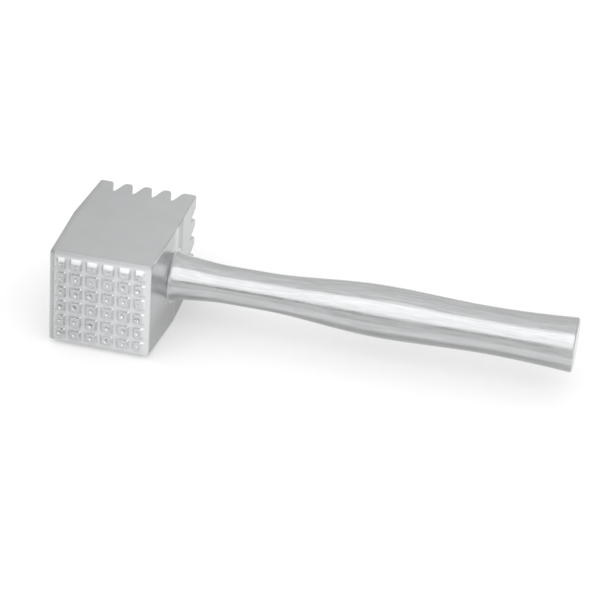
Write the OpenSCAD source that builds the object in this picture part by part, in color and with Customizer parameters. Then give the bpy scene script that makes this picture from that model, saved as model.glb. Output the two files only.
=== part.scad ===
// Meat mallet: a cast square head with a coarse and a fine tooth grid, and a waisted round handle
// that is drawn on to the side of the head by an inner stud.
// X runs along the handle, Y along the stroke from the fine to the coarse side, Z up.
// The origin is the middle of the flat under the head, below the handle's axis.

/* [Head] */
// Width and height of the head at both of its ends
head_end_w = 62.3; // [52:0.1:76]
// Length of the head from the floor of the fine side to the tips of the coarse side
head_len = 98.4; // [80:0.1:120]
// Draft of the four sides, in degrees, away from the parting plane
head_draft = 1.7; // [0.5:0.1:2.5]
// Radius of the four long edges
long_edge_r = 1.4; // [0.8:0.1:5]
// Radius of the rim round the fine side
rim_r = 0.8; // [0.5:0.1:3]
// Radius of the rim round the coarse tips
tip_rim_r = 1.2; // [0.4:0.1:2]
// Width of the flat band where the parting line was ground off
parting_band_w = 3; // [1:0.5:8]

/* [Coarse side] */
// Coarse teeth in a row
coarse_count = 5; // [3:1:7]
// Height of a coarse tooth
coarse_h = 13; // [6:0.5:18]
// Gap between two coarse teeth just under their tips
coarse_gap = 7.3; // [4:0.1:8.5]
// Gap between two coarse teeth at the round floor
coarse_floor_w = 1.6; // [1:0.1:2.5]
// Chamfer on the edges of a coarse tip
coarse_chamfer = 1; // [0.2:0.1:1.4]

/* [Fine side] */
// Fine teeth in a row
fine_count = 6; // [4:1:8]
// Flat border round the fine teeth
fine_border = 2.4; // [1.8:0.1:5]
// Flat valley between two fine teeth
fine_valley = 2.1; // [1:0.1:3]
// Height of a fine tooth
fine_h = 1.9; // [1:0.1:3]
// Run of a steep flank from the base to the top
fine_flank_run = 1; // [0.5:0.1:1.5]
// Run of the long slope on the outer side of the outermost teeth
fine_slope_run = 2.9; // [1:0.1:3.5]
// Depth of the round hollow in a tooth's top
hollow_depth = 1.1; // [0.3:0.1:1.5]
// Share of the narrowest top that the hollow takes
hollow_share = 0.85; // [0.5:0.05:0.95]

/* [Handle] */
// Length from the seat on the head to the butt
handle_len = 247; // [220:1:280]
// Diameter of the foot on its seat
foot_d = 34; // [30:0.5:38]
// Sharpness of the flare from the neck to the foot
foot_flare = 4.4; // [2:0.1:6]
// Diameter of the neck, the thinnest place
neck_d = 23.4; // [20:0.1:27]
// Distance of the neck from the seat
neck_at = 55; // [40:0.5:75]
// Diameter of the swell in the palm
swell_d = 32.2; // [28:0.1:36]
// Distance of the swell from the seat
swell_at = 131; // [110:0.5:150]
// Diameter of the waist behind the swell
waist_d = 28.9; // [25:0.1:32]
// Distance of the waist from the seat
waist_at = 192; // [165:0.5:205]
// Diameter of the butt
butt_d = 33.7; // [30:0.1:38]
// Radius of the butt's edge
butt_edge_r = 1.8; // [0.5:0.1:4]

/* [Joint] */
// Depth of the round seat below the parting band
seat_depth = 0.6; // [0.4:0.1:2]
// Diameter of the stud
stud_d = 12; // [8:0.5:14]
// Length of the stud inside the head
stud_in_head = 32; // [20:1:40]
// Length of the stud inside the handle
stud_in_handle = 36; // [24:1:50]
// Chamfer on both ends of the stud
stud_chamfer = 1.2; // [0.5:0.1:2]
// Room at the end of each stud bore
bore_room = 2; // [1:0.5:5]
// Outside diameter of the lock washer
washer_d = 21.5; // [18:0.1:26]
// Thickness of the lock washer
washer_t = 2.5; // [1.5:0.1:4]
// Width of the split in the lock washer
washer_split_w = 1.6; // [0.8:0.1:3]
// Radial clearance of the inner fits
fit_clearance = 0.05; // [0.02:0.01:0.1]
// Radial clearance of the foot and the washer in their recesses
seat_clearance = 0.15; // [0.1:0.05:0.4]

/* [Hidden] */
$fn = 96;

// Head, worked out from its ends and its draft
end_half = head_end_w / 2;
half_len = head_len / 2;
parting_half = end_half + half_len * tan(head_draft);
band_half = parting_half - parting_band_w / 2 * tan(head_draft);
slab_t = 0.01;
rim_steps = 4;
overshoot = 1;

// Tooth grids
coarse_pitch = head_end_w / coarse_count;
fine_base = (head_end_w - 2 * fine_border - (fine_count - 1) * fine_valley) / fine_count;
fine_pitch = fine_base + fine_valley;
fine_root = 1;
outer_top_w = fine_base - fine_flank_run - fine_slope_run;
outer_top_shift = (fine_slope_run - fine_flank_run) / 2;
hollow_d = hollow_share * outer_top_w;
hollow_floor_d = 0.25 * hollow_d;
hollow_lead = 0.2;

// Joint along the handle's axis
seat_x = band_half - seat_depth;
bore_d = stud_d + 2 * fit_clearance;
drill_point_h = bore_d / 2 * tan(31);
handle_axis_z = band_half;

// Handle outline
stations_per_part = 16;
edge_steps = 5;

// Moves a shape drawn along +Z on to the handle's axis, with its zero at the seat
module on_handle_axis() {
    translate([seat_x, 0, handle_axis_z])
        rotate([0, 90, 0])
            children();
}

// Lays a head drawn along +Z along the stroke, at its height
module along_stroke() {
    translate([0, 0, band_half])
        rotate([-90, 0, 0])
            children();
}

// Half width of the drafted sides at a distance from the parting plane
function side_half(z) = parting_half - abs(z) * tan(head_draft);

// Thin square slab across the head with round corners
module cross_section(z, inset) {
    half = side_half(z) - inset;
    corner_r = long_edge_r;
    translate([0, 0, z - slab_t / 2])
        linear_extrude(slab_t)
            offset(r = corner_r, $fn = 32)
                square(2 * (half - corner_r), center = true);
}

// One rounded rim: slabs that step round a quarter circle of radius r at the end on side s
module rim_sections(s, r) {
    for (i = [0 : rim_steps]) {
        a = 90 * i / rim_steps;
        cross_section(s * (half_len - slab_t / 2 - r * (1 - cos(a))), r * (1 - sin(a)));
    }
}

// Solid casting without teeth: both halves taper from the parting plane, whose ridge is ground flat
module head_block() {
    intersection() {
        hull() {
            rim_sections(-1, rim_r);
            cross_section(0, 0);
            rim_sections(1, tip_rim_r);
        }
        cube([2 * band_half, 2 * band_half, head_len + 2 * overshoot], center = true);
    }
}

// Gap between two coarse teeth: tapered flanks, a round floor and chamfered tip edges
module coarse_gap_profile() {
    floor_r = coarse_floor_w / 2;
    gap_half = coarse_gap / 2;
    mouth_half = gap_half + coarse_chamfer;
    translate([0, half_len - coarse_h + floor_r])
        circle(floor_r, $fn = 32);
    polygon([
        [-floor_r, half_len - coarse_h + floor_r],
        [floor_r, half_len - coarse_h + floor_r],
        [gap_half, half_len - coarse_chamfer],
        [mouth_half, half_len],
        [mouth_half, half_len + overshoot],
        [-mouth_half, half_len + overshoot],
        [-mouth_half, half_len],
        [-gap_half, half_len - coarse_chamfer],
    ]);
}

// Row of gaps that run along Y across the coarse side
module coarse_gaps() {
    for (i = [1 : coarse_count - 1])
        translate([(i - coarse_count / 2) * coarse_pitch, 0, 0])
            rotate([90, 0, 0])
                linear_extrude(2 * parting_half + 2 * overshoot, center = true)
                    coarse_gap_profile();
}

// Section of a fine tooth with a flat top, and the run of its flank on each side
module fine_ridge_profile(low_run, high_run) {
    base_half = fine_base / 2;
    polygon([
        [-base_half, fine_root],
        [-base_half, 0],
        [-base_half + low_run, -fine_h],
        [base_half - high_run, -fine_h],
        [base_half, 0],
        [base_half, fine_root],
    ]);
}

// Row of ridges that run along Y across the fine side; the first and last slope outwards
module fine_ridges() {
    for (i = [0 : fine_count - 1])
        translate([fine_at(i), 0, -half_len])
            rotate([90, 0, 0])
                linear_extrude(head_end_w, center = true)
                    fine_ridge_profile(i == 0 ? fine_slope_run : fine_flank_run,
                                       i == fine_count - 1 ? fine_slope_run : fine_flank_run);
}

// Middle of a fine tooth, and of its flat top, along a row
function fine_at(i) = (i - (fine_count - 1) / 2) * fine_pitch;
function fine_top_at(i) = fine_at(i) + (i == 0 ? 1 : i == fine_count - 1 ? -1 : 0) * outer_top_shift;

// Round hollows in the tops of the fine teeth
module fine_hollows() {
    mouth_d = hollow_d + (hollow_d - hollow_floor_d) * hollow_lead / hollow_depth;
    for (i = [0 : fine_count - 1], j = [0 : fine_count - 1])
        translate([fine_top_at(i), fine_top_at(j), -half_len - fine_h - hollow_lead])
            cylinder(d1 = mouth_d, d2 = hollow_floor_d, h = hollow_depth + hollow_lead, $fn = 24);
}

// Crossed ridges leave one tooth at each crossing, with a hollow in its top
module fine_teeth() {
    difference() {
        intersection() {
            fine_ridges();
            rotate([0, 0, 90]) fine_ridges();
        }
        fine_hollows();
    }
}

// Blind bore with a drill point, from the seat into the head (side -1) or the handle (side 1)
module stud_bore(side, depth) {
    mirror([0, 0, side < 0 ? 1 : 0]) {
        translate([0, 0, -overshoot])
            cylinder(d = bore_d, h = depth + overshoot);
        translate([0, 0, depth])
            cylinder(d1 = bore_d, d2 = 0, h = drill_point_h);
    }
}

module head() {
    color("gainsboro")
        difference() {
            along_stroke()
                difference() {
                    union() {
                        head_block();
                        fine_teeth();
                    }
                    coarse_gaps();
                    rotate([0, 0, 90]) coarse_gaps();
                }
            on_handle_axis() {
                cylinder(d = foot_d + 2 * seat_clearance, h = seat_depth + overshoot);
                stud_bore(-1, stud_in_head + bore_room);
            }
        }
}

// Smooth step from 0 to 1, level at both ends
function ease(t) = (1 - cos(180 * t)) / 2;

// Radius of the handle at a distance from its seat
function handle_r(z) =
    z < neck_at ? neck_d / 2 + (foot_d - neck_d) / 2 * pow(1 - z / neck_at, foot_flare) :
    z < swell_at ? neck_d / 2 + (swell_d - neck_d) / 2 * ease((z - neck_at) / (swell_at - neck_at)) :
    z < waist_at ? swell_d / 2 + (waist_d - swell_d) / 2 * ease((z - swell_at) / (waist_at - swell_at)) :
    waist_d / 2 + (butt_d - waist_d) / 2 * pow((z - waist_at) / (handle_len - waist_at), 2);

// Evenly spaced distances from one station up to the next, without the last
function stretch(from, to) =
    [for (i = [0 : stations_per_part - 1]) from + (to - from) * i / stations_per_part];

module handle_profile() {
    edge_z = handle_len - butt_edge_r;
    edge_r = handle_r(edge_z);
    stations = concat(stretch(0, neck_at), stretch(neck_at, swell_at),
                      stretch(swell_at, waist_at), stretch(waist_at, edge_z));
    polygon(concat(
        [[0, 0]],
        [for (z = stations) [handle_r(z), z]],
        [for (i = [0 : edge_steps])
            let (a = 90 * i / edge_steps)
            [edge_r - butt_edge_r * (1 - cos(a)), edge_z + butt_edge_r * sin(a)]],
        [[0, handle_len]]
    ));
}

module handle() {
    color("silver")
        on_handle_axis()
            difference() {
                rotate_extrude()
                    handle_profile();
                stud_bore(1, stud_in_handle + bore_room);
                translate([0, 0, -overshoot])
                    cylinder(d = washer_d + 2 * seat_clearance, h = washer_t + overshoot);
            }
}

module handle_stud() {
    shank_h = stud_in_head + stud_in_handle - 2 * stud_chamfer;
    end_d = stud_d - 2 * stud_chamfer;
    color("dimgray")
        on_handle_axis()
            translate([0, 0, -stud_in_head]) {
                cylinder(d1 = end_d, d2 = stud_d, h = stud_chamfer);
                translate([0, 0, stud_chamfer])
                    cylinder(d = stud_d, h = shank_h);
                translate([0, 0, stud_chamfer + shank_h])
                    cylinder(d1 = stud_d, d2 = end_d, h = stud_chamfer);
            }
}

module lock_washer() {
    color("gray")
        on_handle_axis()
            difference() {
                cylinder(d = washer_d, h = washer_t);
                translate([0, 0, -overshoot])
                    cylinder(d = stud_d + 2 * seat_clearance, h = washer_t + 2 * overshoot);
                translate([0, -washer_split_w / 2, -overshoot])
                    cube([washer_d, washer_split_w, washer_t + 2 * overshoot]);
            }
}

head();
handle();
handle_stud();
lock_washer();
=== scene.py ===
"""Meat mallet in bare aluminium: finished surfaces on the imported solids, and a plain white studio."""

import math

import bmesh
import bpy
import numpy as np
from mathutils import Matrix, Vector


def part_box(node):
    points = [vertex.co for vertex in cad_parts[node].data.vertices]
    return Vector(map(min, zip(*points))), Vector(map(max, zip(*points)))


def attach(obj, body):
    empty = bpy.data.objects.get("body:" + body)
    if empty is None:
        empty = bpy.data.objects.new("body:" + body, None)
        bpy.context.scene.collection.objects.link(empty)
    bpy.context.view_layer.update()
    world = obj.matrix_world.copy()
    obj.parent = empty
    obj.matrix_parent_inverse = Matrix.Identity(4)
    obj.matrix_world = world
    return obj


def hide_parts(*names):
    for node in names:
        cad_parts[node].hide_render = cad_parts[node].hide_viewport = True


bl_info = {
    "name": "Meat mallet",
    "version": (1, 0, 0),
    "blender": (4, 5, 0),
    "location": "View3D > Sidebar > Mallet",
    "description": "Cast head with two tooth grids, turned handle, inner stud and washer, on a white floor",
    "category": "Object",
}

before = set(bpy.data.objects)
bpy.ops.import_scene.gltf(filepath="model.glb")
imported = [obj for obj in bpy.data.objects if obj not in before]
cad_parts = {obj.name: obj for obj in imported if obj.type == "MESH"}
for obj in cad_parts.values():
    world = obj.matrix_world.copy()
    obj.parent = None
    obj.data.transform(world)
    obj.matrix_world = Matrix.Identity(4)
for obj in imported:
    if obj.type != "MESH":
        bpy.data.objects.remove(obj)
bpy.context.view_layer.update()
BODY = "root"
PHOTO_WIDTH = 610
SENSOR_WIDTH = 36.0

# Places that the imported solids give
HEAD_LOW, HEAD_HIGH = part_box("head")
HANDLE_LOW, HANDLE_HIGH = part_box("handle")
STUD_LOW, STUD_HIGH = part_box("handle_stud")
WASHER_LOW, WASHER_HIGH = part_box("lock_washer")
AXIS_HEIGHT = (HANDLE_LOW.z + HANDLE_HIGH.z) / 2
SEAT_X = HANDLE_LOW.x
MM = 0.001


def length(name, description, default):
    """A length in metres that a user may change."""
    return bpy.props.FloatProperty(
        name=name, description=description, default=default, unit="LENGTH", precision=5
    )


def angle(name, description, degrees):
    """An angle, given in degrees."""
    return bpy.props.FloatProperty(
        name=name, description=description, default=math.radians(degrees), subtype="ANGLE"
    )


def factor(name, description, default):
    """A plain number from 0 upwards."""
    return bpy.props.FloatProperty(name=name, description=description, default=default, min=0.0)


def count(name, description, default):
    """A whole number of repeated shapes."""
    return bpy.props.IntProperty(name=name, description=description, default=default, min=1)


def colour(name, description, default):
    """A linear colour."""
    return bpy.props.FloatVectorProperty(
        name=name, description=description, default=default, size=3, min=0.0, max=1.0, subtype="COLOR"
    )


class HeadSizes(bpy.types.PropertyGroup):
    """Sizes of the cast head."""

    half_width: length("Half width", "Half width at the ground parting band", HEAD_HIGH.x)
    half_length: length("Half length", "From the parting plane to coarse tips or fine border", HEAD_HIGH.y)
    draft: angle("Draft", "Taper of the four sides", 1.7)
    band_width: length("Parting band", "Width of the flat ground along the parting line", 3 * MM)
    long_edge_radius: length("Long edge radius", "Radius of the four long edges", 1.4 * MM)
    rim_radius: length("Fine rim radius", "Radius round the fine side", 0.8 * MM)
    tip_rim_radius: length("Coarse rim radius", "Radius round the coarse tips", 1.2 * MM)
    coarse_count: count("Coarse teeth", "Coarse teeth in a row", 5)
    coarse_height: length("Coarse height", "Height of a coarse tooth", 13 * MM)
    coarse_gap: length("Coarse gap", "Gap between two coarse teeth at their tips", 7.3 * MM)
    coarse_floor: length("Coarse floor", "Gap between two coarse teeth at their feet", 1.6 * MM)
    coarse_softness: length("Coarse softness", "Half width of the round on a coarse tip's edge", 1.3 * MM)
    fine_count: count("Fine teeth", "Fine teeth in a row", 6)
    fine_height: length("Fine height", "Height of a fine tooth", -HEAD_LOW.y - HEAD_HIGH.y)
    fine_border: length("Fine border", "Flat border round the fine teeth", 2.4 * MM)
    fine_valley: length("Fine valley", "Flat valley between two fine teeth", 2.1 * MM)
    fine_flank: length("Fine flank", "Run of a fine tooth's steep flank", 1.0 * MM)
    fine_slope: length("Fine slope", "Run of the outer slope of the outermost teeth", 2.9 * MM)
    fine_softness: length("Fine softness", "Half width of the rounds on a fine tooth", 0.14 * MM)
    dimple_radius: length("Dimple radius", "Radius of the hollow in a fine tooth's top", 1.4 * MM)
    dimple_depth: length("Dimple depth", "Depth of the hollow in a fine tooth's top", 1.9 * MM)
    cast_drift: length("Cast drift", "How far a hollow may lie off the middle of its tooth", 0.45 * MM)
    row_squeeze: factor("Row squeeze", "How much closer the fine grid's rows lie than its columns", 0.026)
    lower_rise: length("Lower rise", "How far the fine face ends above the lower draft", 1.5 * MM)
    corner_power: factor("Corner power", "Power of the squircle that rounds a tooth's corners", 11.0)


class HandleSizes(bpy.types.PropertyGroup):
    """Sizes of the turned handle."""

    foot_radius: length("Foot radius", "Radius on the seat", (HANDLE_HIGH.z - HANDLE_LOW.z) / 2)
    flare_length: length("Flare length", "How far the flare of the foot runs up the handle", 7 * MM)
    shoulder_radius: length("Shoulder radius", "Radius on the seat without the flare", 13.84 * MM)
    shoulder_length: length("Shoulder length", "Distance over which the shoulder narrows", 34 * MM)
    neck_radius: length("Neck radius", "Radius at the thinnest place", 11.7 * MM)
    neck_at: length("Neck at", "Distance of the neck from the seat", 55 * MM)
    swell_radius: length("Swell radius", "Radius in the palm", 16.1 * MM)
    swell_at: length("Swell at", "Distance of the swell from the seat", 131 * MM)
    waist_radius: length("Waist radius", "Radius behind the swell", 14.45 * MM)
    waist_at: length("Waist at", "Distance of the waist from the seat", 192 * MM)
    butt_radius: length("Butt radius", "Radius at the end", 16.85 * MM)
    butt_edge: length("Butt edge", "Radius of the butt's edge", 1.8 * MM)
    foot_edge: length("Foot edge", "Radius of the foot's edge", 0.1 * MM)


class JointSizes(bpy.types.PropertyGroup):
    """Sizes of the stud, the washer and the bores that hold them."""

    stud_radius: length("Stud radius", "Radius over the thread", (STUD_HIGH.z - STUD_LOW.z) / 2)
    thread_pitch: length("Thread pitch", "Pitch of the stud's thread", 1.75 * MM)
    thread_depth: length("Thread depth", "Depth of the stud's thread", 1.0 * MM)
    plain_length: length("Plain length", "Plain middle of the stud", 7 * MM)
    stud_chamfer: length("Stud chamfer", "Chamfer on the stud's ends", 1.2 * MM)
    bore_clearance: length("Bore clearance", "Radial clearance of the stud and of the foot", 0.05 * MM)
    bore_room: length("Bore room", "Room past each end of the stud", 2 * MM)
    drill_angle: angle("Drill angle", "Slope of the drill point in each bore", 31.0)
    washer_clearance: length("Washer clearance", "Radial clearance inside and outside the washer", 0.15 * MM)
    washer_split: length("Washer split", "Width of the split in the washer", 1.6 * MM)
    washer_edge: length("Washer edge", "Radius of the washer's edges", 0.25 * MM)


class Finishes(bpy.types.PropertyGroup):
    """Colours and roughness of the metals."""

    cast_colour: colour("Cast aluminium", "Colour of the head", (0.57, 0.575, 0.58))
    cast_roughness: factor("Cast roughness", "Mean roughness of the head", 0.4)
    polished_colour: colour("Polished aluminium", "Colour of the handle", (0.57, 0.575, 0.58))
    polished_roughness: factor("Polished roughness", "Mean roughness of the handle", 0.14)
    steel_colour: colour("Steel", "Colour of the stud and the washer", (0.42, 0.42, 0.43))


class StageSettings(bpy.types.PropertyGroup):
    """Camera, floor and light."""

    camera_place: bpy.props.FloatVectorProperty(
        name="Camera place",
        description="Where the camera stands",
        default=(0.33864, -1.15296, 0.70091),
        subtype="TRANSLATION",
    )
    camera_azimuth: angle("Azimuth", "How far the camera looks round from +Y towards -X", 10.999)
    camera_elevation: angle("Elevation", "How far the camera looks down", 29.827)
    camera_roll: angle("Roll", "How far the camera leans to its left", 4.364)
    focal_length: factor("Focal length", "Lens in millimetres on a 36 mm sensor", 132.25)
    half_pixel: factor("Half pixel", "Shift of the view in photo pixels", 0.5)
    floor_size: length("Floor size", "Side of the square floor", 6.0)
    floor_colour: colour("Floor", "Colour of the floor", (0.77, 0.77, 0.77))
    floor_lift: factor("Floor lift", "White that the camera and the metal see on the floor", 0.27)
    horizon_light: factor("Horizon light", "Strength of the sky at the horizon", 0.72)
    zenith_light: factor("Zenith light", "Strength of the sky overhead", 0.95)
    key_light: factor("Key light", "Strength that the key light adds to the sky", 0.7)
    key_high: angle("Key high", "Angle of the key light's upper edge from straight up", 18.0)
    key_low: angle("Key low", "Angle of the key light's lower edge from straight up", 84.0)
    key_edge: angle("Key edge", "Half width of the key light's soft edges", 4.0)
    key_middle: factor("Key middle", "Middle of the key light along X, as part of a unit sphere", 0.15)
    key_reach: factor("Key reach", "Half length of the key light along X", 0.7)
    key_fade: factor("Key fade", "Half width of the fade at the key light's ends", 0.15)
    front_shade: factor("Front shade", "How much darker the sky is low in front", 0.45)


# Surfaces

MERGE_DISTANCE = 2e-6
SLIVER_LENGTH = 1e-7
FLAT_WEIGHT = 60
TINY = 1e-12


def soft_ramp(t, blend):
    """0 up to -blend, then a parabola (t + blend)^2 / (4 blend), and t itself from blend on."""
    bend = (t + blend) ** 2 / (4 * blend)
    return np.where(t < -blend, 0.0, np.where(t > blend, t, bend))


def rounded_line(q, places, values, blend):
    """Broken line through (places, values), level outside them. At each place the slope changes by a
    soft ramp, so the line is the first value plus the sum of slope change times ramp."""
    slopes = np.diff(values) / np.diff(places)
    changes = np.diff(np.concatenate([[0.0], slopes, [0.0]]))
    ramps = [change * soft_ramp(q - place, blend) for change, place in zip(changes, places)]
    return values[0] + np.sum(ramps, axis=0)


def spread(knots, number):
    """Resamples sorted knots to a number of places, as dense as the knots are."""
    knots = np.unique(np.round(knots, 9))
    return np.interp(np.linspace(0, 1, number), np.linspace(0, 1, len(knots)), knots)


def centres(number, pitch):
    """Middles of a row of teeth about zero."""
    return (np.arange(number) - (number - 1) / 2) * pitch


def from_nearest(t, middles):
    """Distance of each place from the nearest middle."""
    return np.abs(t[..., None] - middles).min(axis=-1)


def nearest(t, middles):
    """Number of the nearest middle for each place."""
    return np.abs(t[..., None] - middles).argmin(axis=-1)


def squircle(a, b, power):
    """Distance in a squircle: (a^n + b^n)^(1/n), a square with round corners."""
    return (np.abs(a) ** power + np.abs(b) ** power) ** (1 / power)


def round_corners(x, z, half, radius):
    """Maps a square of that half size on to one with round corners. In each corner the distance from
    the corner's centre goes from the larger of the two offsets to the length of both."""
    limit = half - radius
    inner_x = np.clip(x, -limit, limit)
    inner_z = np.clip(z, -limit, limit)
    dx = x - inner_x
    dz = z - inner_z
    long = np.maximum(np.abs(dx), np.abs(dz))
    ratio = long / np.maximum(np.hypot(dx, dz), TINY)
    return inner_x + dx * ratio, inner_z + dz * ratio


def grid_quads(rows, columns, wrap=False):
    """Corner numbers of the quads of a grid, stored row by row. A wrapped grid closes each row."""
    last = columns if wrap else columns - 1
    i, j = np.meshgrid(np.arange(rows - 1), np.arange(last), indexing="ij")
    k = (j + 1) % columns
    corners = [i * columns + j, i * columns + k, (i + 1) * columns + k, (i + 1) * columns + j]
    return np.stack(corners, axis=-1).reshape(-1, 4)


def border_of(grid):
    """Values of a square grid round its border, once round, without the first repeated."""
    return np.concatenate([grid[:-1, 0], grid[-1, :-1], grid[:0:-1, -1], grid[0, :0:-1]])


def make_object(name, patches, material):
    """Joins (points, quads) patches to one closed mesh, merges their shared edges, turns the faces
    outwards and links the object."""
    points = np.concatenate([patch[0].reshape(-1, 3) for patch in patches])
    starts = np.cumsum([0] + [patch[0].reshape(-1, 3).shape[0] for patch in patches[:-1]])
    quads = np.concatenate([patch[1] + start for patch, start in zip(patches, starts)])
    mesh = bpy.data.meshes.new(name)
    mesh.from_pydata(points, [], quads)
    shape = bmesh.new()
    shape.from_mesh(mesh)
    bmesh.ops.remove_doubles(shape, verts=shape.verts, dist=MERGE_DISTANCE)
    bmesh.ops.dissolve_degenerate(shape, edges=shape.edges, dist=SLIVER_LENGTH)
    bmesh.ops.recalc_face_normals(shape, faces=shape.faces)
    shape.to_mesh(mesh)
    shape.free()
    mesh.materials.append(material)
    mesh.shade_smooth()
    piece = bpy.data.objects.new(name, mesh)
    bpy.context.scene.collection.objects.link(piece)
    return piece


def revolve(stations, radii, segments):
    """Surface of revolution about the handle's axis: x from the stations, and the circle
    (r cos a, r sin a) round the axis."""
    around = np.linspace(0, 2 * math.pi, segments, endpoint=False)
    x = np.repeat(np.asarray(stations)[:, None], segments, axis=1)
    r = np.asarray(radii)[:, None]
    points = np.stack([x, r * np.cos(around), AXIS_HEIGHT + r * np.sin(around)], axis=-1)
    return points, grid_quads(len(stations), segments, wrap=True)


def mark_edges(piece, reach):
    """Stores how sharply the surface bends at each point: the mean over its edges of
    (normal difference . edge) / length^2, times reach. Ridges are positive and valleys negative."""
    mesh = piece.data
    number = len(mesh.vertices)
    place = np.empty(number * 3)
    mesh.vertices.foreach_get("co", place)
    place = place.reshape(-1, 3)
    normal = np.empty(number * 3)
    mesh.vertices.foreach_get("normal", normal)
    normal = normal.reshape(-1, 3)
    ends = np.empty(len(mesh.edges) * 2, dtype=np.int32)
    mesh.edges.foreach_get("vertices", ends)
    a, b = ends.reshape(-1, 2).T
    along = place[b] - place[a]
    span = np.maximum((along ** 2).sum(axis=1), TINY)
    bend = ((normal[b] - normal[a]) * along).sum(axis=1) / span
    total = np.zeros(number)
    share = np.zeros(number)
    for end in (a, b):
        np.add.at(total, end, bend)
        np.add.at(share, end, 1.0)
    value = np.clip(total / np.maximum(share, 1.0) * reach, -1.0, 1.0)
    layer = mesh.attributes.new("bend", "FLOAT", "POINT")
    layer.data.foreach_set("value", value.astype(np.float32))


def weigh_normals(piece, sharp_degrees):
    """Keeps the flats flat between small rounds, and edges past an angle sharp."""
    piece.data.set_sharp_from_angle(angle=math.radians(sharp_degrees))
    weights = piece.modifiers.new("flat faces", "WEIGHTED_NORMAL")
    weights.keep_sharp = True
    weights.weight = FLAT_WEIGHT


def finish_piece(piece, node):
    """Seats a piece on the body in place of its solid."""
    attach(piece, BODY)
    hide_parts(node)


# Materials

# Where the finish, or the painted light and shade, changes. A mask is 0 at the first number of a pair and 1
# at the second.
# The bend of an edge, and the part of a normal that lies along an axis
BEND_SHOWS = (0.05, 0.6)
FACE_TURNS = (0.6, 0.9)
FLANK_TURNS = (0.6, 0.85)
WALL_TURNS = (0.9, 0.7)
# Shares of a fine tooth's height, of the fine rim's radius and of the parting band's width
TOOTH_FOOT = (0.1, 0.35)
TOOTH_TOP = (0.3, 0.8)
RIM_SHARE = 1.5
BAND_FADE = (0.65, 0.3)
# Heights above the handle's axis, for the painted shade on the sides
LOW_FADE = (2 * MM, -20 * MM)
HIGH_FADE = (18 * MM, 24 * MM)
# Places along Y, and distances from them, for the painted shade on the sides
BACK_FADE = (-10 * MM, 15 * MM)
STRIP_AT = 10.5 * MM
STRIP_FADE = (7 * MM, 3.5 * MM)
FRONT_AT = -14 * MM
FRONT_FADE = (13 * MM, 7 * MM)
# Distances from the head's far edge, and from the far and upper edges of the fine face, for painted shade
# there
FAR_EDGE_FADE = (5 * MM, 1 * MM)
FAR_BORDER_AT = 2 * MM
FAR_BORDER_FADE = (1.5 * MM, 0.3 * MM)
TOP_BORDER_WIDTH = 3 * MM

# What each mask adds to the tone and to the roughness of the head. Most changes of tone are painted light or
# shade.
CAST_TONES = {
    # Painted light: the whole head, and the fine face more, brighter towards the handle's side
    "toward_handle": 0.05,
    "fine_toward": 0.07,
    # Painted shade on ridges, which damps their highlight, and in the roots of creases
    "ridge": -0.1,
    "root": -0.1,
    # Painted light on the fine face, taken off the upper part of its teeth again
    "tooth_top": -0.18,
    "fine_flat": 0.18,
    "band": 0.16,
    # Painted shade on the fine face's far and upper borders
    "far_border": -0.26,
    "top_border": -0.3,
    # Painted light on the side-facing flanks of the fine teeth
    "flank": 0.14,
    # Painted shade on the sides: all over, behind, low down, behind the band and high up before it
    "side": -0.05,
    "back_side": -0.15,
    "low_side": -0.28,
    "strip": -0.24,
    "front_high": -0.17,
    # Painted shade along the top's far edge
    "far_edge": -0.12,
}
CAST_ROUGHNESS = {
    "ridge": 0.15,
    "root": 0.06,
    "tooth": -0.3,
    "fine_flat": 0.12,
    "band": 0.05,
    "side": -0.15,
}

# Two painted bands on the handle's round wall, a painted dark reflection line under the key highlight and
# painted shade low on the underside: height above the handle's axis and fade, and change of tone
DARK_LINE_PAINT = (2 * MM, 3 * MM, 1 * MM)
UNDER_SHADE_PAINT = (-8.5 * MM, 5 * MM, 2 * MM)
PAINTED_HANDLE_TONES = {"painted_dark_line": -0.2, "painted_under_shade": -0.32}

# Stretch of each noise along X, Y and Z, in features per metre, and the range that most of a noise fills
MOTTLE_SCALES = (60, 60, 60)
GRAIN_SCALES = (2600, 2600, 2600)
STREAK_SCALES = (45, 620, 620)
BELT_SCALES = (5, 150, 150)
RING_SCALES = (4000, 120, 120)
PAPER_SCALES = (3, 3, 3)
NOISE_RANGE = (0.3, 0.7)
STREAK_RANGE = (0.36, 0.64)


def new_material(name):
    """Empty node material with its output and metal shader."""
    material = bpy.data.materials.new(name)
    material.use_nodes = True
    tree = material.node_tree
    tree.nodes.clear()
    output = tree.nodes.new("ShaderNodeOutputMaterial")
    metal = tree.nodes.new("ShaderNodeBsdfPrincipled")
    metal.inputs["Metallic"].default_value = 1.0
    tree.links.new(metal.outputs["BSDF"], output.inputs["Surface"])
    return material, tree, metal


def feed(tree, socket, value):
    """Links a node's output to a socket, or sets the socket's own value."""
    if isinstance(value, bpy.types.NodeSocket):
        tree.links.new(value, socket)
    else:
        socket.default_value = value


def maths(tree, operation, first, second=0.0, clamp=False):
    """Math node of two values."""
    node = tree.nodes.new("ShaderNodeMath")
    node.operation = operation
    node.use_clamp = clamp
    feed(tree, node.inputs[0], first)
    feed(tree, node.inputs[1], second)
    return node.outputs[0]


def noise(tree, scales, detail, roughness):
    """Noise on Object coordinates, stretched by a scale for each axis, in features per metre."""
    place = tree.nodes.new("ShaderNodeTexCoord")
    mapping = tree.nodes.new("ShaderNodeMapping")
    mapping.inputs["Scale"].default_value = scales
    tree.links.new(place.outputs["Object"], mapping.inputs["Vector"])
    grain = tree.nodes.new("ShaderNodeTexNoise")
    grain.inputs["Scale"].default_value = 1.0
    grain.inputs["Detail"].default_value = detail
    grain.inputs["Roughness"].default_value = roughness
    tree.links.new(mapping.outputs["Vector"], grain.inputs["Vector"])
    return grain.outputs["Fac"]


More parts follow.
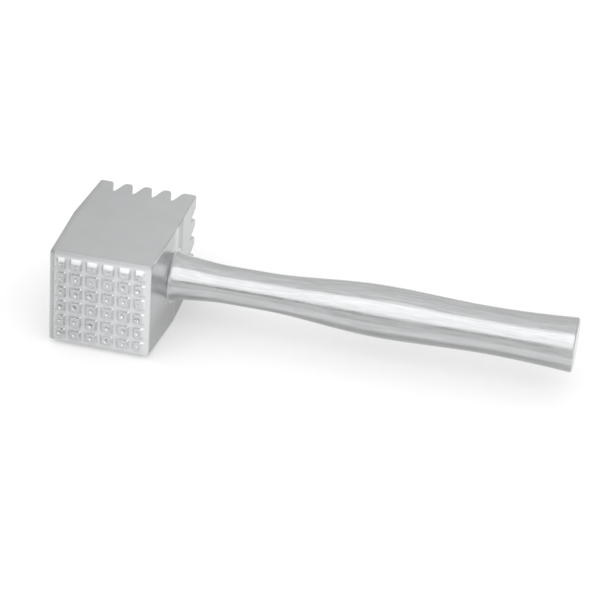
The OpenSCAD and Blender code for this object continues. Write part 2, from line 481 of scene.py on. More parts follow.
def remap(tree, value, low, high, to_low, to_high, smooth=False):
    """Straight-line or smooth-step change of range, held at both ends."""
    node = tree.nodes.new("ShaderNodeMapRange")
    feed(tree, node.inputs["Value"], value)
    node.inputs["From Min"].default_value = low
    node.inputs["From Max"].default_value = high
    node.inputs["To Min"].default_value = to_low
    node.inputs["To Max"].default_value = to_high
    node.interpolation_type = "SMOOTHSTEP" if smooth else "LINEAR"
    return node.outputs["Result"]


def shade(tree, base, brightness):
    """A colour times a brightness."""
    node = tree.nodes.new("ShaderNodeVectorMath")
    node.operation = "SCALE"
    node.inputs[0].default_value = base
    feed(tree, node.inputs["Scale"], brightness)
    return node.outputs["Vector"]


def bump(tree, layers):
    """Stacks (height, distance, strength) layers of bump."""
    normal = None
    for height, distance, strength in layers:
        node = tree.nodes.new("ShaderNodeBump")
        node.inputs["Distance"].default_value = distance
        node.inputs["Strength"].default_value = strength
        tree.links.new(height, node.inputs["Height"])
        if normal is not None:
            tree.links.new(normal, node.inputs["Normal"])
        normal = node.outputs["Normal"]
    return normal


def mask(tree, value, none, whole, smooth=False):
    """0 where the value is at none, 1 where it is at whole, and a ramp between them."""
    return remap(tree, value, none, whole, 0.0, 1.0, smooth)


def mask_near(tree, value, middle, none, whole, smooth=True):
    """Mask by the distance of a value from a middle."""
    distance = maths(tree, "ABSOLUTE", maths(tree, "SUBTRACT", value, middle))
    return mask(tree, distance, none, whole, smooth)


def product(tree, *values):
    """Product of several values."""
    result = values[0]
    for value in values[1:]:
        result = maths(tree, "MULTIPLY", result, value)
    return result


def add_shares(tree, start, masks, changes, clamp=False):
    """A start value plus each named change times its mask."""
    for name, change in changes.items():
        start = maths(tree, "ADD", start, maths(tree, "MULTIPLY", masks[name], change), clamp)
    return start


def place_and_facing(tree):
    """Place and normal of the surface in the object's own axes, each as its X, Y and Z."""
    source = tree.nodes.new("ShaderNodeTexCoord")
    parts = []
    for name in ("Object", "Normal"):
        split = tree.nodes.new("ShaderNodeSeparateXYZ")
        tree.links.new(source.outputs[name], split.inputs["Vector"])
        parts.append([split.outputs[axis] for axis in "XYZ"])
    return parts


def cast_masks(tree, sizes):
    """Masks from 0 to 1 of the parts of the head that differ in finish or in painted light and shade. Two go
    from -1 to 1 instead: toward_handle from the far side to the handle's side, and fine_toward, the same on
    the fine face; both carry a painted light that grows towards the handle's side."""
    bend = tree.nodes.new("ShaderNodeAttribute")
    bend.attribute_name = "bend"
    hollow = maths(tree, "MULTIPLY", bend.outputs["Fac"], -1.0)
    (across, along, up), facing = place_and_facing(tree)
    sideways = maths(tree, "ABSOLUTE", facing[0])
    height = maths(tree, "SUBTRACT", up, AXIS_HEIGHT)
    from_far = maths(tree, "ADD", across, sizes.half_width)
    in_front = maths(tree, "SUBTRACT", -sizes.half_length, along)
    face_half = float(half_at(sizes, sizes.half_length))
    fine_flat = mask(tree, in_front, -RIM_SHARE * sizes.rim_radius, 0.0)
    tooth = mask(tree, in_front, *[share * sizes.fine_height for share in TOOTH_FOOT])
    tooth_top = mask(tree, in_front, *[share * sizes.fine_height for share in TOOTH_TOP])
    side = product(tree, mask(tree, sideways, *FACE_TURNS), maths(tree, "SUBTRACT", 1.0, fine_flat))
    band = mask_near(tree, along, 0.0, *[share * sizes.band_width for share in BAND_FADE])
    # Masks for the painted shade on the sides: low down, high up before the band, and behind it
    low = mask(tree, height, *LOW_FADE, smooth=True)
    not_low = maths(tree, "SUBTRACT", 1.0, low)
    high = mask(tree, height, *HIGH_FADE, smooth=True)
    before_band = mask_near(tree, along, FRONT_AT, *FRONT_FADE)
    behind_band = mask_near(tree, along, STRIP_AT, *STRIP_FADE)
    # Painted shade along the top's far edge, and on the fine face's far and upper borders
    far_edge = mask(tree, from_far, *FAR_EDGE_FADE, smooth=True)
    far_border = mask_near(tree, across, FAR_BORDER_AT - face_half, *FAR_BORDER_FADE, smooth=False)
    top_border = mask(tree, height, face_half - TOP_BORDER_WIDTH, face_half)
    # Painted light that grows towards the handle's side
    toward_handle = remap(tree, across, -sizes.half_width, sizes.half_width, -1.0, 1.0)
    return {
        "ridge": mask(tree, bend.outputs["Fac"], *BEND_SHOWS),
        "root": mask(tree, hollow, *BEND_SHOWS),
        "toward_handle": toward_handle,
        "fine_toward": product(tree, toward_handle, fine_flat),
        "fine_flat": fine_flat,
        "far_border": product(tree, far_border, fine_flat),
        "top_border": product(tree, top_border, fine_flat),
        "tooth": tooth,
        "tooth_top": tooth_top,
        "flank": product(tree, mask(tree, sideways, *FLANK_TURNS), tooth),
        "side": side,
        "band": product(tree, band, side),
        "strip": product(tree, behind_band, side, not_low),
        "front_high": product(tree, high, before_band, side),
        "low_side": product(tree, side, low),
        "back_side": product(tree, side, mask(tree, along, *BACK_FADE, smooth=True)),
        "far_edge": product(tree, far_edge, mask(tree, facing[2], *FACE_TURNS)),
    }


def cast_aluminium(finishes, sizes):
    """Tumbled casting: fine grain and soft mottling. Edges and roots are a little rougher and carry painted
    shade, which on the edges also damps their highlight. The fine face carries a painted light, but not its
    far and upper borders, which carry painted shade, nor the smooth tops of its teeth; the teeth's
    side-facing flanks carry a painted light. The sides are smoother, carry painted shade, most of it low
    down and behind, and are ground bright along the parting band, with painted shade before and behind it.
    The top carries painted shade along its far edge, and the whole head a painted light that grows towards
    the handle's side."""
    material, tree, metal = new_material("cast_aluminium")
    masks = cast_masks(tree, sizes)
    mottle = noise(tree, MOTTLE_SCALES, detail=4.0, roughness=0.6)
    grain = noise(tree, GRAIN_SCALES, detail=3.0, roughness=0.6)
    tone = remap(tree, mottle, *NOISE_RANGE, to_low=0.97, to_high=1.03)
    tone = add_shares(tree, tone, masks, CAST_TONES)
    mean = finishes.cast_roughness
    rough = remap(tree, mottle, *NOISE_RANGE, mean - 0.04, mean + 0.04)
    rough = add_shares(tree, rough, masks, CAST_ROUGHNESS, clamp=True)
    feed(tree, metal.inputs["Base Color"], shade(tree, finishes.cast_colour, tone))
    feed(tree, metal.inputs["Roughness"], rough)
    feed(tree, metal.inputs["Normal"], bump(tree, [(mottle, 0.4 * MM, 0.12), (grain, 0.04 * MM, 0.25)]))
    return material


def polished_aluminium(finishes):
    """Metal linished along the handle: streaks that are long in X and fine across it, and broader marks of
    the belt under them. Two bands on the round wall are painted: a painted dark reflection line just under
    the key highlight, and painted shade low on the underside."""
    material, tree, metal = new_material("polished_aluminium")
    place, facing = place_and_facing(tree)
    height = maths(tree, "SUBTRACT", place[2], AXIS_HEIGHT)
    round_wall = mask(tree, maths(tree, "ABSOLUTE", facing[0]), *WALL_TURNS)
    streaks = noise(tree, STREAK_SCALES, detail=5.0, roughness=0.7)
    belt = noise(tree, BELT_SCALES, detail=3.0, roughness=0.55)
    tone = remap(tree, streaks, *STREAK_RANGE, to_low=0.91, to_high=1.07)
    tone = product(tree, tone, remap(tree, belt, *NOISE_RANGE, to_low=0.93, to_high=1.06))
    # Painted dark reflection line under the key highlight, and painted shade low on the underside
    masks = {
        "painted_dark_line": product(tree, mask_near(tree, height, *DARK_LINE_PAINT), round_wall),
        "painted_under_shade": product(tree, mask_near(tree, height, *UNDER_SHADE_PAINT), round_wall),
    }
    tone = add_shares(tree, tone, masks, PAINTED_HANDLE_TONES)
    mean = finishes.polished_roughness
    rough = remap(tree, streaks, *NOISE_RANGE, mean - 0.04, mean + 0.06)
    around = tree.nodes.new("ShaderNodeTangent")
    around.direction_type = "RADIAL"
    around.axis = "X"
    tree.links.new(around.outputs["Tangent"], metal.inputs["Tangent"])
    metal.inputs["Anisotropic"].default_value = 0.6
    feed(tree, metal.inputs["Base Color"], shade(tree, finishes.polished_colour, tone))
    feed(tree, metal.inputs["Roughness"], rough)
    feed(tree, metal.inputs["Normal"], bump(tree, [(belt, 0.6 * MM, 0.25), (streaks, 0.12 * MM, 0.6)]))
    return material


def plain_steel(finishes):
    """Turned steel with fine rings across the axis."""
    material, tree, metal = new_material("plain_steel")
    rings = noise(tree, RING_SCALES, detail=3.0, roughness=0.6)
    tone = remap(tree, rings, *NOISE_RANGE, to_low=0.9, to_high=1.06)
    feed(tree, metal.inputs["Base Color"], shade(tree, finishes.steel_colour, tone))
    rough = remap(tree, rings, *NOISE_RANGE, to_low=0.28, to_high=0.42)
    feed(tree, metal.inputs["Roughness"], rough)
    feed(tree, metal.inputs["Normal"], bump(tree, [(rings, 0.05 * MM, 0.3)]))
    return material


def white_floor(settings):
    """Matt pale floor with a faint paper tone. The lift is white that the camera and the metal see."""
    material, tree, paper = new_material("white_floor")
    paper.inputs["Metallic"].default_value = 0.0
    paper.inputs["Specular IOR Level"].default_value = 0.0
    paper.inputs["Roughness"].default_value = 1.0
    fibre = noise(tree, PAPER_SCALES, detail=2.0, roughness=0.5)
    tone = remap(tree, fibre, *NOISE_RANGE, to_low=0.995, to_high=1.005)
    feed(tree, paper.inputs["Base Color"], shade(tree, settings.floor_colour, tone))
    ray = tree.nodes.new("ShaderNodeLightPath")
    seen = maths(tree, "ADD", ray.outputs["Is Camera Ray"], ray.outputs["Is Glossy Ray"], clamp=True)
    seen = maths(tree, "ADD", seen, ray.outputs["Is Transmission Ray"], clamp=True)
    paper.inputs["Emission Color"].default_value = (1.0, 1.0, 1.0, 1.0)
    feed(tree, paper.inputs["Emission Strength"], maths(tree, "MULTIPLY", seen, settings.floor_lift))
    return material


# Head

HEAD_SAMPLES = 177
RIM_ROWS = 7
FRONT_ROWS = 9
BACK_ROWS = 8
CAP_MARGIN = 4 * MM
BOWL_SAMPLE = 0.3 * MM
BOWL_SOFTNESS = 0.45
CAST_SEED = 11
SHORTEST_TOOTH = 0.9
SHALLOWEST_HOLLOW = 0.5
BEND_REACH = 0.4 * MM
CUTTER_REACH = 5 * MM
CUTTER_SEGMENTS = 128
HEAD_SHARP = 50


def half_at(sizes, y):
    """Half width of the head at y: the drafted sides, cut off at the ground band."""
    slope = math.tan(sizes.draft)
    ridge = sizes.half_width + sizes.band_width / 2 * slope
    return np.minimum(ridge - np.abs(y) * slope, sizes.half_width)


def tooth_knots(middles, places, blend, end):
    """Sample places for a row of teeth: each middle, and a cluster round each bend of its profile."""
    cluster = np.linspace(-1, 1, 5) * blend
    offsets = np.concatenate([[0.0], (np.asarray(places)[:, None] + cluster).ravel()])
    offsets = np.concatenate([-offsets, offsets])
    knots = (middles[:, None] + offsets).ravel()
    return np.concatenate([knots[np.abs(knots) < end], [-end, end]])


def outer_slope(t, middles, base, sizes):
    """Distance from the nearest tooth's middle, where the outer side of an outermost tooth counts
    its long slope as if it were the short flank."""
    near = from_nearest(t, middles)
    flat = base / 2 - sizes.fine_slope
    top = base / 2 - sizes.fine_flank
    outside = np.interp(near, [0.0, flat, base / 2, base], [0.0, top, base / 2, base])
    return np.where(np.abs(t) > middles[-1], outside, near)


def fine_face(sizes):
    """Fine end: y = -half length - height(q) + hollow(r). q is the squircle distance from the nearest
    tooth's middle, height is level on a tooth's top and falls down its flank to the valley, and r is
    the round distance from the hollow in the middle of that top. By seeded chance, heights are lowered a
    little, and hollows drift from the middle and differ in depth."""
    end_half = float(half_at(sizes, sizes.half_length))
    cap = end_half - sizes.rim_radius
    valleys = (sizes.fine_count - 1) * sizes.fine_valley
    base = (2 * end_half - 2 * sizes.fine_border - valleys) / sizes.fine_count
    middles = centres(sizes.fine_count, base + sizes.fine_valley)
    places = [base / 2 - sizes.fine_flank, base / 2]
    values = [sizes.fine_height, 0.0]
    hollows = np.array(middles)
    hollows[0] += (sizes.fine_slope - sizes.fine_flank) / 2
    hollows[-1] -= (sizes.fine_slope - sizes.fine_flank) / 2
    bends = [BOWL_SAMPLE, sizes.dimple_radius / 2, base / 2 - sizes.fine_slope] + places
    t = spread(tooth_knots(middles, bends, sizes.fine_softness, cap), HEAD_SAMPLES)
    square_x, square_z = np.meshgrid(t, t, indexing="ij")
    x, z = round_corners(square_x, square_z, cap, sizes.long_edge_radius)
    a = outer_slope(x, middles, base, sizes)
    b = outer_slope(z, middles, base, sizes)
    q = squircle(a, b, sizes.corner_power)
    chance = np.random.default_rng(CAST_SEED).random((4, sizes.fine_count, sizes.fine_count))
    column, row = nearest(x, middles), nearest(z, middles)
    short, deep, aside, above = chance[:, column, row]
    drift = sizes.cast_drift * (np.stack([aside, above]) * 2 - 1)
    r = np.hypot(x - hollows[column] - drift[0], z - hollows[row] - drift[1])
    softness = sizes.dimple_radius * BOWL_SOFTNESS
    bowl = rounded_line(r, [0.0, sizes.dimple_radius], [sizes.dimple_depth, 0.0], softness)
    height = rounded_line(q, places, values, sizes.fine_softness)
    height = height * (1 - (1 - SHORTEST_TOOTH) * short)
    y = -sizes.half_length - height + bowl * (SHALLOWEST_HOLLOW + deep)
    return t, cap, np.stack([x, y, z + AXIS_HEIGHT], axis=-1)


def inward_distance(t, middles):
    """Distance from the nearest tooth's middle, 0 outside the outermost middles, whose teeth end
    flush with the sides."""
    return from_nearest(np.clip(t, middles[0], middles[-1]), middles)


def coarse_face(sizes):
    """Coarse end: y = half length - depth(q), where depth is 0 on a tip, falls down the steep flank
    and is level on the floor of a gap."""
    end_half = float(half_at(sizes, sizes.half_length))
    cap = end_half - sizes.tip_rim_radius
    pitch = 2 * end_half / sizes.coarse_count
    middles = centres(sizes.coarse_count, pitch)
    places = [(pitch - sizes.coarse_gap) / 2, (pitch - sizes.coarse_floor) / 2]
    values = [0.0, sizes.coarse_height]
    t = spread(tooth_knots(middles, places, sizes.coarse_softness, cap), HEAD_SAMPLES)
    square_x, square_z = np.meshgrid(t, t, indexing="ij")
    x, z = round_corners(square_x, square_z, cap, sizes.long_edge_radius)
    q = squircle(inward_distance(x, middles), inward_distance(z, middles), sizes.corner_power)
    y = sizes.half_length - rounded_line(q, places, values, sizes.coarse_softness)
    return t, cap, np.stack([x, y, z + AXIS_HEIGHT], axis=-1)


def stretched(t, cap, half):
    """Places across a cap, carried out to a wider half size. Only the outer margin is stretched."""
    inner = cap - CAP_MARGIN
    outer = np.sign(t) * (inner + (np.abs(t) - inner) * (half - inner) / CAP_MARGIN)
    return np.where(np.abs(t) > inner, outer, t)


def head_sides(sizes, fine, coarse):
    """Four sides as one wrapped grid: rings from the fine rim over the ground band to the coarse rim.
    A ring's half size is the drafted half width less a quarter round at each rim, and each column
    ends where the coarse face has its border, so the gaps open through the sides."""
    fine_t, fine_cap, _ = fine
    coarse_t, coarse_cap, coarse_points = coarse
    fine_ring = [border_of(g) for g in np.meshgrid(fine_t, fine_t, indexing="ij")]
    coarse_ring = [border_of(g) for g in np.meshgrid(coarse_t, coarse_t, indexing="ij")]
    column_end = border_of(coarse_points[..., 1])
    rim_start = -sizes.half_length + sizes.rim_radius
    band = sizes.band_width / 2
    turn = np.linspace(0, math.pi / 2, RIM_ROWS)

    def ring(share, y, half):
        """One ring at y, its columns moved from the fine to the coarse spacing by a share."""
        half = np.broadcast_to(half, column_end.shape)
        placed = []
        for start, end in zip(fine_ring, coarse_ring):
            first = stretched(start, fine_cap, half)
            placed.append(first + share * (stretched(end, coarse_cap, half) - first))
        x, z = round_corners(placed[0], placed[1], half, sizes.long_edge_radius)
        return np.stack([x, np.broadcast_to(y, x.shape), z + AXIS_HEIGHT], axis=-1)

    rings = []
    for a in turn:
        y = -sizes.half_length + sizes.rim_radius * (1 - math.cos(a))
        rings.append(ring(0.0, y, half_at(sizes, y) - sizes.rim_radius * (1 - math.sin(a))))
    for share in np.linspace(0, 1, FRONT_ROWS)[1:]:
        y = rim_start + (-band - rim_start) * share
        rings.append(ring(share, y, half_at(sizes, y)))
    for share in np.linspace(0, 1, BACK_ROWS):
        y = band + (column_end - sizes.tip_rim_radius - band) * share
        rings.append(ring(1.0, y, half_at(sizes, y)))
    for a in turn[-2::-1]:
        y = column_end - sizes.tip_rim_radius * (1 - math.cos(a))
        rings.append(ring(1.0, y, coarse_cap + (half_at(sizes, y) - coarse_cap) * math.sin(a)))
    return np.stack(rings), grid_quads(len(rings), len(column_end), wrap=True)


def settle_fine_end(points, sizes):
    """Draws the rows of the fine grid closer and raises the lower edge of its face. Both moves are along
    z, and grow in a straight line from 0 at the parting band to the whole at the face. The first fades
    out over the border, and the second fades in over it."""
    y, z = points[..., 1], points[..., 2]
    height = z - AXIS_HEIGHT
    edge = float(half_at(sizes, sizes.half_length))
    band = sizes.band_width / 2
    forward = np.clip((-y - band) / (sizes.half_length - band), 0.0, 1.0)
    within = np.clip((edge - np.abs(height)) / sizes.fine_border, 0.0, 1.0)
    below = np.clip(1 - (edge + height) / sizes.fine_border, 0.0, 1.0)
    moved = z + forward * (sizes.lower_rise * below - sizes.row_squeeze * height * within)
    return np.stack([points[..., 0], y, moved], axis=-1)


def bore_profile(joint, end_x, step):
    """Stations and radii of a blind bore that runs from the seat to end_x, with its drill point."""
    radius = joint.stud_radius + joint.bore_clearance
    point = radius * math.tan(joint.drill_angle)
    return [end_x, end_x + step * point], [radius, 0.0]


def cut_seat(piece, joint, handle):
    """Takes the round seat and the stud's bore out of the head."""
    foot = handle.foot_radius + joint.bore_clearance
    end_x = STUD_LOW.x - joint.bore_room
    bore_x, bore_r = bore_profile(joint, end_x, -1)
    outside = HEAD_HIGH.x + CUTTER_REACH
    stations = [outside, outside, SEAT_X, SEAT_X] + bore_x
    radii = [0.0, foot, foot, bore_r[0]] + bore_r
    cutter = make_object("seat_cutter", [revolve(stations, radii, CUTTER_SEGMENTS)], piece.data.materials[0])
    cut = piece.modifiers.new("seat", "BOOLEAN")
    cut.operation = "DIFFERENCE"
    cut.solver = "EXACT"
    cut.object = cutter
    shapes = bpy.context.evaluated_depsgraph_get()
    whole = piece.data
    piece.data = bpy.data.meshes.new_from_object(piece.evaluated_get(shapes))
    piece.modifiers.clear()
    bpy.data.meshes.remove(whole)
    bpy.data.objects.remove(cutter)
    piece.data.name = piece.name


class MALLET_OT_head(bpy.types.Operator):
    """Cast head with its coarse and fine tooth grids and the seat for the handle."""

    bl_idname = "mallet.head"
    bl_label = "Head"

    def execute(self, context):
        sizes = context.scene.mallet_head
        fine = fine_face(sizes)
        coarse = coarse_face(sizes)
        caps = [(face[2], grid_quads(HEAD_SAMPLES, HEAD_SAMPLES)) for face in (fine, coarse)]
        material = cast_aluminium(context.scene.mallet_finishes, sizes)
        patches = caps + [head_sides(sizes, fine, coarse)]
        patches = [(settle_fine_end(points, sizes), quads) for points, quads in patches]
        piece = make_object("cast_head", patches, material)
        mark_edges(piece, BEND_REACH)
        cut_seat(piece, context.scene.mallet_joint, context.scene.mallet_handle)
        weigh_normals(piece, HEAD_SHARP)
        finish_piece(piece, "head")
        return {"FINISHED"}


# Handle

HANDLE_SEGMENTS = 192
FOOT_RIM = HEAD_HIGH.x - SEAT_X
HANDLE_STATIONS = 150
EDGE_STATIONS = 7
FLARE_STATIONS = 16
HANDLE_SHARP = 40


def ease(t):
    """Half a cosine wave from 0 to 1, level at both ends."""
    return (1 - np.cos(math.pi * t)) / 2


def handle_radius(sizes, z):
    """Radius at distance z from the seat: a half cosine wave from shoulder to neck with a quarter
    ellipse out to the foot's rim, half cosine waves to the swell and on to the waist, and a parabola
    out to the butt."""
    whole = HANDLE_HIGH.x - SEAT_X
    narrow = ease(np.minimum(z / sizes.shoulder_length, 1.0))
    low = np.clip(1 - (z - FOOT_RIM) / sizes.flare_length, 0.0, 1.0)
    to_neck = sizes.shoulder_radius + (sizes.neck_radius - sizes.shoulder_radius) * narrow
    to_neck = to_neck + (sizes.foot_radius - sizes.shoulder_radius) * (1 - np.sqrt(1 - low ** 2))
    rise = ease((z - sizes.neck_at) / (sizes.swell_at - sizes.neck_at))
    to_swell = sizes.neck_radius + (sizes.swell_radius - sizes.neck_radius) * rise
    fall = ease((z - sizes.swell_at) / (sizes.waist_at - sizes.swell_at))
    to_waist = sizes.swell_radius + (sizes.waist_radius - sizes.swell_radius) * fall
    spread_out = ((z - sizes.waist_at) / (whole - sizes.waist_at)) ** 2
    to_butt = sizes.waist_radius + (sizes.butt_radius - sizes.waist_radius) * spread_out
    bounds = [z < sizes.neck_at, z < sizes.swell_at, z < sizes.waist_at]
    return np.select(bounds, [to_neck, to_swell, to_waist], to_butt)


def handle_outline(sizes, joint):
    """Closed outline of the handle: up the bore, over the washer's recess and the foot's edge, along
    the grip and round the butt's edge to the axis."""
    whole = HANDLE_HIGH.x - SEAT_X
    bore_x, bore_r = bore_profile(joint, STUD_HIGH.x + joint.bore_room, 1)
    recess_r = (WASHER_HIGH.z - WASHER_LOW.z) / 2 + joint.washer_clearance
    recess_x = WASHER_HIGH.x
    stations = bore_x[::-1] + [recess_x, recess_x, SEAT_X]
    radii = bore_r[::-1] + [bore_r[0], recess_r, recess_r]
    turn = np.linspace(0, math.pi / 2, EDGE_STATIONS)
    stations += list(SEAT_X + sizes.foot_edge * (1 - np.cos(turn)))
    radii += list(sizes.foot_radius - sizes.foot_edge * (1 - np.sin(turn)))
    bow = np.linspace(0, math.pi / 2, FLARE_STATIONS)
    start = FOOT_RIM + sizes.flare_length * (1 - np.cos(bow))
    grip = np.linspace(start[-1], whole - sizes.butt_edge, HANDLE_STATIONS)
    grip = np.concatenate([start, grip[1:]])
    stations += list(SEAT_X + grip)
    radii += list(np.minimum(handle_radius(sizes, grip), sizes.foot_radius))
    edge_x = SEAT_X + whole - sizes.butt_edge
    edge_r = radii[-1]
    stations += list(edge_x + sizes.butt_edge * np.sin(turn[1:]))
    radii += list(edge_r - sizes.butt_edge * (1 - np.cos(turn[1:])))
    stations += [HANDLE_HIGH.x]
    radii += [0.0]
    return stations, radii


def follow_side(points, head, sizes):
    """Lowers the foot's rim on to the drafted side of the head. The drop is how far the side lies under
    the parting band at that y. It fades out up the flare, and down the rim to the seat."""
    x = points[..., 0]
    drop = head.half_width - half_at(head, points[..., 1])
    above = np.clip(1 - (x - SEAT_X - FOOT_RIM) / sizes.flare_length, 0.0, 1.0)
    within = np.clip((x - SEAT_X) / FOOT_RIM, 0.0, 1.0)
    outside = np.hypot(points[..., 1], points[..., 2] - AXIS_HEIGHT) > sizes.neck_radius
    lowered = x - np.where(outside, drop * above * within, 0.0)
    return np.stack([lowered, points[..., 1], points[..., 2]], axis=-1)


class MALLET_OT_handle(bpy.types.Operator):
    """Turned handle with its flared foot, palm swell and flat butt."""

    bl_idname = "mallet.handle"
    bl_label = "Handle"

    def execute(self, context):
        outline = handle_outline(context.scene.mallet_handle, context.scene.mallet_joint)
        material = polished_aluminium(context.scene.mallet_finishes)
        points, quads = revolve(*outline, HANDLE_SEGMENTS)
        points = follow_side(points, context.scene.mallet_head, context.scene.mallet_handle)
        piece = make_object("turned_handle", [(points, quads)], material)
        weigh_normals(piece, HANDLE_SHARP)
        finish_piece(piece, "handle")
        return {"FINISHED"}


# Inner joint

STUD_SEGMENTS = 48
STUD_PER_PITCH = 8
WASHER_SEGMENTS = 96
THREAD_STEEPNESS = 1.3
THREAD_CREST = 0.15
JOINT_SHARP = 30


def stud_surface(joint):
    """Threaded stud: radius = outer - depth * wave(x / pitch - a / turn), where wave is a triangle
    with a flat crest, fading out over the plain middle and limited by the chamfer at both ends."""
    whole = STUD_HIGH.x - STUD_LOW.x
    number = int(whole / joint.thread_pitch * STUD_PER_PITCH)
    x = np.linspace(STUD_LOW.x, STUD_HIGH.x, number)[:, None]
    around = np.linspace(0, 2 * math.pi, STUD_SEGMENTS, endpoint=False)
    phase = (x / joint.thread_pitch - around / (2 * math.pi)) % 1.0
    wave = np.clip(np.abs(phase * 2 - 1) * THREAD_STEEPNESS - THREAD_CREST, 0.0, 1.0)
    fade = np.clip((np.abs(x - SEAT_X) - joint.plain_length / 2) / joint.thread_pitch, 0.0, 1.0)
    r = joint.stud_radius - joint.thread_depth * wave * fade
    from_end = np.minimum(x - STUD_LOW.x, STUD_HIGH.x - x)
    r = np.minimum(r, joint.stud_radius - joint.stud_chamfer + from_end)
    points = np.stack(
        [np.broadcast_to(x, r.shape), r * np.cos(around), AXIS_HEIGHT + r * np.sin(around)], axis=-1
    )
    middle = np.zeros((1, STUD_SEGMENTS, 3)) + [0.0, 0.0, AXIS_HEIGHT]
    near = middle + [STUD_LOW.x, 0.0, 0.0]
    far = middle + [STUD_HIGH.x, 0.0, 0.0]
    points = np.concatenate([near, points, far])
    return points, grid_quads(len(points), STUD_SEGMENTS, wrap=True)


def washer_surface(joint):
    """Split ring: a rectangle with cut corners carried round the axis from one side of the split to
    the other, closed at both ends by a fan to the section's middle."""
    inner = joint.stud_radius + joint.washer_clearance
    outer = (WASHER_HIGH.z - WASHER_LOW.z) / 2
    low, high = WASHER_LOW.x, WASHER_HIGH.x
    e = joint.washer_edge
    r = np.array([inner + e, outer - e, outer, outer, outer - e, inner + e, inner, inner])
    x = np.array([low, low, low + e, high - e, high, high, high - e, low + e])
    half_split = joint.washer_split / 2 / outer
    start = -math.pi / 2
    around = np.linspace(start + half_split, start + 2 * math.pi - half_split, WASHER_SEGMENTS)
    a = np.concatenate([around[:1], around, around[-1:]])[:, None]

    def carried(section):
        """One row of the section for each step, and a row at its middle before and after them."""
        middle = np.full((1, len(section)), section.mean())
        return np.concatenate([middle, np.tile(section, (WASHER_SEGMENTS, 1)), middle])

    r, x = carried(r), carried(x)
    points = np.stack([x, r * np.cos(a), AXIS_HEIGHT + r * np.sin(a)], axis=-1)
    return points, grid_quads(*r.shape, wrap=True)


class MALLET_OT_joint(bpy.types.Operator):
    """Threaded stud and split lock washer inside the joint of head and handle."""

    bl_idname = "mallet.joint"
    bl_label = "Stud and lock washer"

    def execute(self, context):
        joint = context.scene.mallet_joint
        material = plain_steel(context.scene.mallet_finishes)
        stud = make_object("threaded_stud", [stud_surface(joint)], material)
        washer = make_object("split_washer", [washer_surface(joint)], material)
        weigh_normals(stud, JOINT_SHARP)
        weigh_normals(washer, JOINT_SHARP)
        finish_piece(stud, "handle_stud")
        finish_piece(washer, "lock_washer")
        return {"FINISHED"}


# Stage

CAMERA_REACH = 100
FRONT_TURNS = (-0.5, -0.9)
LOW_SKY = (0.26, 0.14)


def place_camera(settings):
    """Camera at the photograph's place, turned by azimuth, elevation and roll."""
    azimuth, elevation = settings.camera_azimuth, settings.camera_elevation
    forward = Vector((
        -math.sin(azimuth) * math.cos(elevation),
        math.cos(azimuth) * math.cos(elevation),
        -math.sin(elevation),
    ))
    right = forward.cross(Vector((0, 0, 1))).normalized()
    up = right.cross(forward)
    roll = settings.camera_roll
    leaned = right * math.cos(roll) + up * math.sin(roll)
    up = leaned.cross(forward)
    data = bpy.data.cameras.new("camera")
    data.sensor_width = SENSOR_WIDTH
    data.lens = settings.focal_length
    data.clip_end = CAMERA_REACH
    data.shift_x = -settings.half_pixel / PHOTO_WIDTH
    data.shift_y = settings.half_pixel / PHOTO_WIDTH
    camera = bpy.data.objects.new("camera", data)
    turn = Matrix((leaned, up, -forward)).transposed()
    camera.matrix_world = Matrix.Translation(settings.camera_place) @ turn.to_4x4()
    bpy.context.scene.collection.objects.link(camera)
    bpy.context.scene.camera = camera


def light_sky(settings):
    """Sky that brightens from the horizon to the zenith, with a long key light above and in front that
    lies along X, and a darker low front."""
    world = bpy.data.worlds.new("studio")
    world.use_nodes = True
    tree = world.node_tree
    tree.nodes.clear()
    place = tree.nodes.new("ShaderNodeTexCoord")
    split = tree.nodes.new("ShaderNodeSeparateXYZ")
    sky = tree.nodes.new("ShaderNodeBackground")
    output = tree.nodes.new("ShaderNodeOutputWorld")
    direction = place.outputs["Generated"]
    tree.links.new(direction, split.inputs["Vector"])
    height = split.outputs["Z"]
    strength = remap(tree, height, 0.0, 1.0, settings.horizon_light, settings.zenith_light)
    front = remap(tree, split.outputs["Y"], *FRONT_TURNS, 0.0, settings.front_shade)
    shade_low = maths(tree, "MULTIPLY", front, mask(tree, height, *LOW_SKY))
    strength = maths(tree, "MULTIPLY", strength, maths(tree, "SUBTRACT", 1.0, shade_low))
    down = maths(tree, "ARCTAN2", maths(tree, "MULTIPLY", split.outputs["Y"], -1.0), height)
    edge = settings.key_edge
    upper = mask(tree, down, settings.key_high - edge, settings.key_high + edge, smooth=True)
    lower = mask(tree, down, settings.key_low + edge, settings.key_low - edge, smooth=True)
    reach, fade = settings.key_reach, settings.key_fade
    ends = mask_near(tree, split.outputs["X"], settings.key_middle, reach + fade, reach - fade)
    key = product(tree, upper, lower, ends, settings.key_light)
    strength = maths(tree, "ADD", strength, key)
    tree.links.new(strength, sky.inputs["Strength"])
    tree.links.new(sky.outputs["Background"], output.inputs["Surface"])
    sky.inputs["Color"].default_value = (1.0, 1.0, 1.0, 1.0)
    bpy.context.scene.world = world


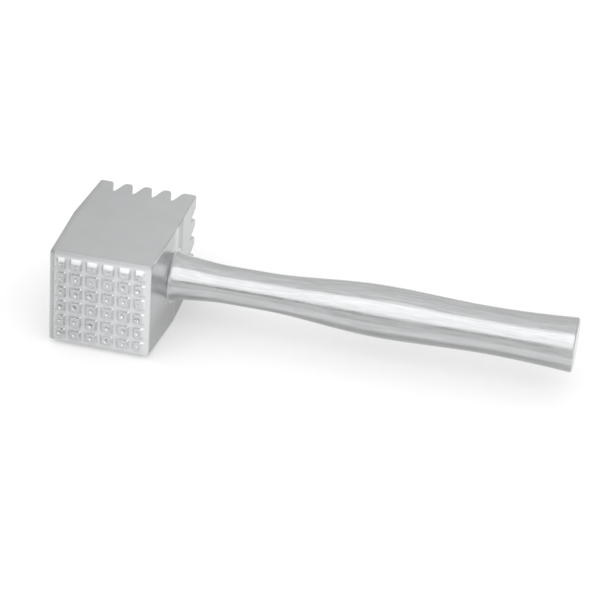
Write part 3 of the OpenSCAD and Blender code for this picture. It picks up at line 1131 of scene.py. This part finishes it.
class MALLET_OT_stage(bpy.types.Operator):
    """Camera, pale floor and sky with its key light."""

    bl_idname = "mallet.stage"
    bl_label = "Stage"

    def execute(self, context):
        settings = context.scene.mallet_stage
        context.scene.view_settings.view_transform = "Standard"
        place_camera(settings)
        light_sky(settings)
        half = settings.floor_size / 2
        across = np.array([-half, half])
        x, y = np.meshgrid(across, across, indexing="ij")
        points = np.stack([x, y, np.full_like(x, HEAD_LOW.z)], axis=-1)
        mesh = bpy.data.meshes.new("floor")
        mesh.from_pydata(points.reshape(-1, 3), [], [(0, 2, 3, 1)])
        mesh.materials.append(white_floor(settings))
        floor = bpy.data.objects.new("floor", mesh)
        context.scene.collection.objects.link(floor)
        return {"FINISHED"}


class MALLET_PT_panel(bpy.types.Panel):
    """Buttons for each piece and the stage."""

    bl_idname = "MALLET_PT_panel"
    bl_label = "Meat mallet"
    bl_space_type = "VIEW_3D"
    bl_region_type = "UI"
    bl_category = "Mallet"

    def draw(self, context):
        for operator in OPERATORS:
            self.layout.operator(operator.bl_idname)
        for group in SETTINGS:
            box = self.layout.box()
            settings = getattr(context.scene, group)
            for name in settings.bl_rna.properties.keys():
                if name not in {"rna_type", "name"}:
                    box.prop(settings, name)


SETTINGS = {
    "mallet_head": HeadSizes,
    "mallet_handle": HandleSizes,
    "mallet_joint": JointSizes,
    "mallet_finishes": Finishes,
    "mallet_stage": StageSettings,
}
OPERATORS = (MALLET_OT_stage, MALLET_OT_head, MALLET_OT_handle, MALLET_OT_joint)


def register():
    """Adds the settings, operators and panel."""
    for name, group in SETTINGS.items():
        bpy.utils.register_class(group)
        setattr(bpy.types.Scene, name, bpy.props.PointerProperty(type=group))
    for operator in OPERATORS:
        bpy.utils.register_class(operator)
    bpy.utils.register_class(MALLET_PT_panel)


def unregister():
    """Takes them away again."""
    bpy.utils.unregister_class(MALLET_PT_panel)
    for operator in reversed(OPERATORS):
        bpy.utils.unregister_class(operator)
    for name, group in SETTINGS.items():
        delattr(bpy.types.Scene, name)
        bpy.utils.unregister_class(group)


def main():
    """Adds the settings and operators, and builds the stage and every piece."""
    register()
    bpy.ops.mallet.stage()
    bpy.ops.mallet.head()
    bpy.ops.mallet.handle()
    bpy.ops.mallet.joint()


if __name__ == "__main__":
    main()
